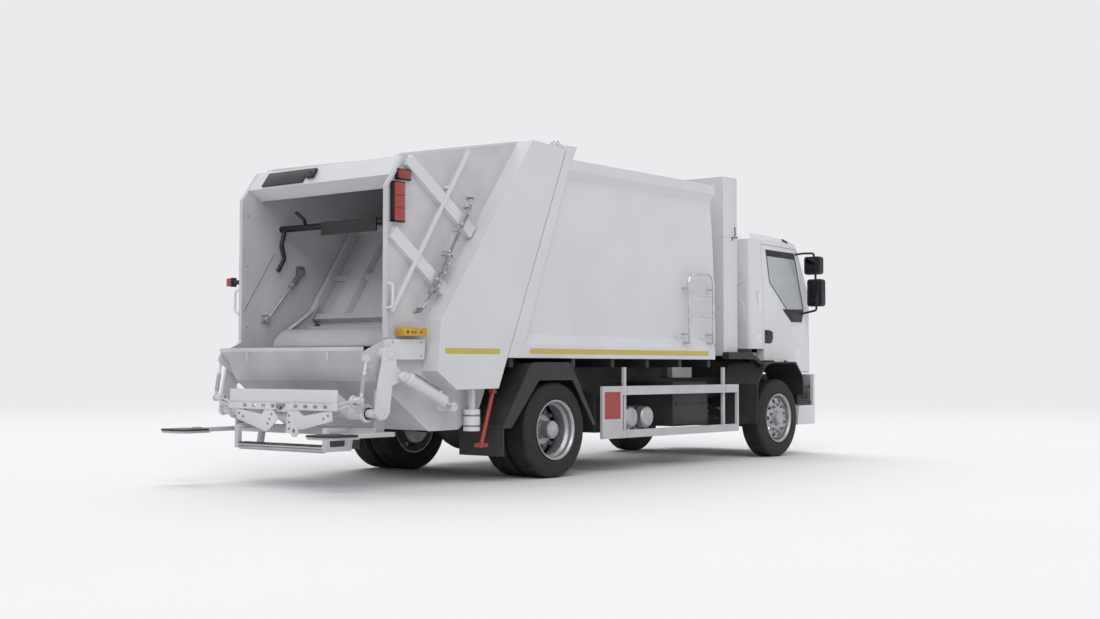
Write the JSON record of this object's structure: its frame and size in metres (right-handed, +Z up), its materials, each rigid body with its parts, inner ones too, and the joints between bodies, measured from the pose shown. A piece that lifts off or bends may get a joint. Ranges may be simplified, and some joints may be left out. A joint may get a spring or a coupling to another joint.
{
  "type": "rear loader garbage truck",
  "caption": "Rear loader garbage truck: cab-over chassis with twin rear wheels, slanted tailgate with hopper, packing gear and bin lifter.",
  "frame": {"origin": "on the ground below the middle of the truck's outline", "axes": "+X forward to the cab, +Y to the left side, +Z up"},
  "size_m": [8.68, 2.818, 3.417],
  "materials": {
    "white_paint": "gloss white coach paint",
    "cab_paint": "gloss white cab paint",
    "frame_paint": "dark grey chassis paint",
    "black_plastic": "matte black plastic",
    "black_paint": "black painted steel",
    "galvanised": "bare steel",
    "polished": "polished steel",
    "tank_alloy": "plain aluminium",
    "rim_alloy": "bright wheel",
    "tyre": "tread rubber",
    "glass": "clear cab glass",
    "lamp": "red lamp lens",
    "head_lamp": "clear lamp lens",
    "seat_cloth": "dark seat cloth",
    "trim": "grey trim plastic",
    "red_paint": "red painted steel",
    "guard_paint": "pale grey painted steel"
  },
  "bodies": {
    "chassis": {"chassis_frame": "frame_paint", "subframe": "frame_paint", "engine": "frame_paint", "front_axle": "frame_paint", "rear_axle": "frame_paint", "springs": "frame_paint", "mudguards_rear": "black_plastic", "mudguards_front": "black_plastic", "side_guards": "guard_paint", "chassis_boxes": "black_plastic", "air_tanks": "tank_alloy", "fuel_tank": "tank_alloy", "load_body": "white_paint", "front_cabinet": "white_paint", "ladder": "polished", "cab_shell": "cab_paint", "windscreen": "glass", "grille": "black_plastic", "bumper": "cab_paint", "entry_steps": "black_plastic", "head_lamps": "head_lamp", "cab_seats": "seat_cloth", "dashboard": "trim"},
    "knuckle_left": {"knuckle_left": "frame_paint"},
    "knuckle_right": {"knuckle_right": "frame_paint"},
    "wheel_front_left": {"tyre_front_left": "tyre", "rim_front_left": "rim_alloy"},
    "wheel_front_right": {"tyre_front_right": "tyre", "rim_front_right": "rim_alloy"},
    "wheel_rear_left": {"tyres_rear_left": "tyre", "rims_rear_left": "rim_alloy"},
    "wheel_rear_right": {"tyres_rear_right": "tyre", "rims_rear_right": "rim_alloy"},
    "door_left": {"door_left": "cab_paint", "door_glass_left": "glass", "mirror_left": "black_plastic"},
    "door_right": {"door_right": "cab_paint", "door_glass_right": "glass", "mirror_right": "black_plastic"},
    "ejector": {"ejector_plate": "white_paint"},
    "tailgate": {"hopper": "white_paint", "loading_sill": "white_paint", "tailgate_roof": "white_paint", "tailgate_side_boxes": "white_paint", "wall_braces": "white_paint", "hydraulic_lines": "galvanised", "tail_lamps": "lamp", "side_brackets": "white_paint", "hopper_beam": "black_paint", "step_frame": "guard_paint", "safety_prop": "red_paint"},
    "carriage": {"packer_carriage": "white_paint"},
    "blade": {"packer_blade": "white_paint"},
    "lifter": {"lifter_arms": "white_paint"},
    "comb": {"comb_carrier": "white_paint"},
    "struts": {"control_struts": "white_paint"},
    "barrels": {"lift_barrels": "white_paint"},
    "rods": {"lift_rods": "polished"},
    "footboard_left": {"footboard_left": "black_paint"},
    "footboard_right": {"footboard_right": "black_paint"}
  },
  "joints": [
    {"name": "steer_left", "type": "hinge", "parent": "chassis", "child": "knuckle_left", "pos_m": [3.11, 0.97, 0.48], "axis": [0, 0, 1], "range_deg": [-38, 38]},
    {"name": "steer_right", "type": "hinge", "parent": "chassis", "child": "knuckle_right", "pos_m": [3.11, -0.97, 0.48], "axis": [0, 0, 1], "range_deg": [-38, 38]},
    {"name": "spin_front_left", "type": "hinge", "parent": "knuckle_left", "child": "wheel_front_left", "pos_m": [3.11, 1.068, 0.48], "axis": [0, 1, 0], "continuous": true},
    {"name": "spin_front_right", "type": "hinge", "parent": "knuckle_right", "child": "wheel_front_right", "pos_m": [3.11, -1.068, 0.48], "axis": [0, 1, 0], "continuous": true},
    {"name": "spin_rear_left", "type": "hinge", "parent": "chassis", "child": "wheel_rear_left", "pos_m": [-1.38, 0.969, 0.48], "axis": [0, 1, 0], "continuous": true},
    {"name": "spin_rear_right", "type": "hinge", "parent": "chassis", "child": "wheel_rear_right", "pos_m": [-1.38, -0.969, 0.48], "axis": [0, 1, 0], "continuous": true},
    {"name": "door_left_swing", "type": "hinge", "parent": "chassis", "child": "door_left", "pos_m": [4.066, 1.1, 1.5], "axis": [0, 0, -1], "range_deg": [0, 70]},
    {"name": "door_right_swing", "type": "hinge", "parent": "chassis", "child": "door_right", "pos_m": [4.066, -1.1, 1.5], "axis": [0, 0, 1], "range_deg": [0, 70]},
    {"name": "ejector_slide", "type": "slide", "parent": "chassis", "child": "ejector", "axis": [-1, 0, 0], "range_m": [0, 2.6]},
    {"name": "tailgate_lift", "type": "hinge", "parent": "chassis", "child": "tailgate", "pos_m": [-1.259, 0, 3.383], "axis": [0, 1, 0], "range_deg": [0, 80]},
    {"name": "packer_slide", "type": "slide", "parent": "tailgate", "child": "carriage", "axis": [0.5446, 0, 0.8387], "range_m": [-0.34, 0.55]},
    {"name": "blade_swing", "type": "hinge", "parent": "carriage", "child": "blade", "pos_m": [-2.73, 0, 1.48], "axis": [0, -1, 0], "range_deg": [0, 70]},
    {"name": "lifter_swing", "type": "hinge", "parent": "tailgate", "child": "lifter", "pos_m": [-3.537, 0, 1.222], "axis": [0, 1, 0], "range_deg": [0, 100]},
    {"name": "comb_tilt", "type": "hinge", "parent": "lifter", "child": "comb", "pos_m": [-3.65, 0, 0.69], "axis": [0, 1, 0], "range_deg": [-2, 14]},
    {"name": "strut_swing", "type": "hinge", "parent": "tailgate", "child": "struts", "pos_m": [-3.751, 0, 1.18], "axis": [0, 1, 0], "range_deg": [-2, 156]},
    {"name": "barrel_swing", "type": "hinge", "parent": "lifter", "child": "barrels", "pos_m": [-3.42, 0, 1.02], "axis": [0, 1, 0], "range_deg": [-99, 2]},
    {"name": "rod_stroke", "type": "slide", "parent": "barrels", "child": "rods", "axis": [0.9135, 0, -0.4068], "range_m": [-0.005, 0.38]},
    {"name": "footboard_left_fold", "type": "hinge", "parent": "tailgate", "child": "footboard_left", "pos_m": [-3.977, 1.022, 0.524], "axis": [0, 1, 0], "range_deg": [0, 90]},
    {"name": "footboard_right_fold", "type": "hinge", "parent": "tailgate", "child": "footboard_right", "pos_m": [-3.977, -1.022, 0.524], "axis": [0, 1, 0], "range_deg": [0, 90]}
  ],
  "couplings": [
    {"joint": "steer_right", "follows": "steer_left", "ratio": 1},
    {"joint": "comb_tilt", "follows": "lifter_swing", "ratio": 0.108},
    {"joint": "strut_swing", "follows": "lifter_swing", "ratio": 1.518},
    {"joint": "barrel_swing", "follows": "lifter_swing", "ratio": -0.96},
    {"joint": "rod_stroke", "follows": "lifter_swing", "m_per_rad": 0.2046}
  ]
}
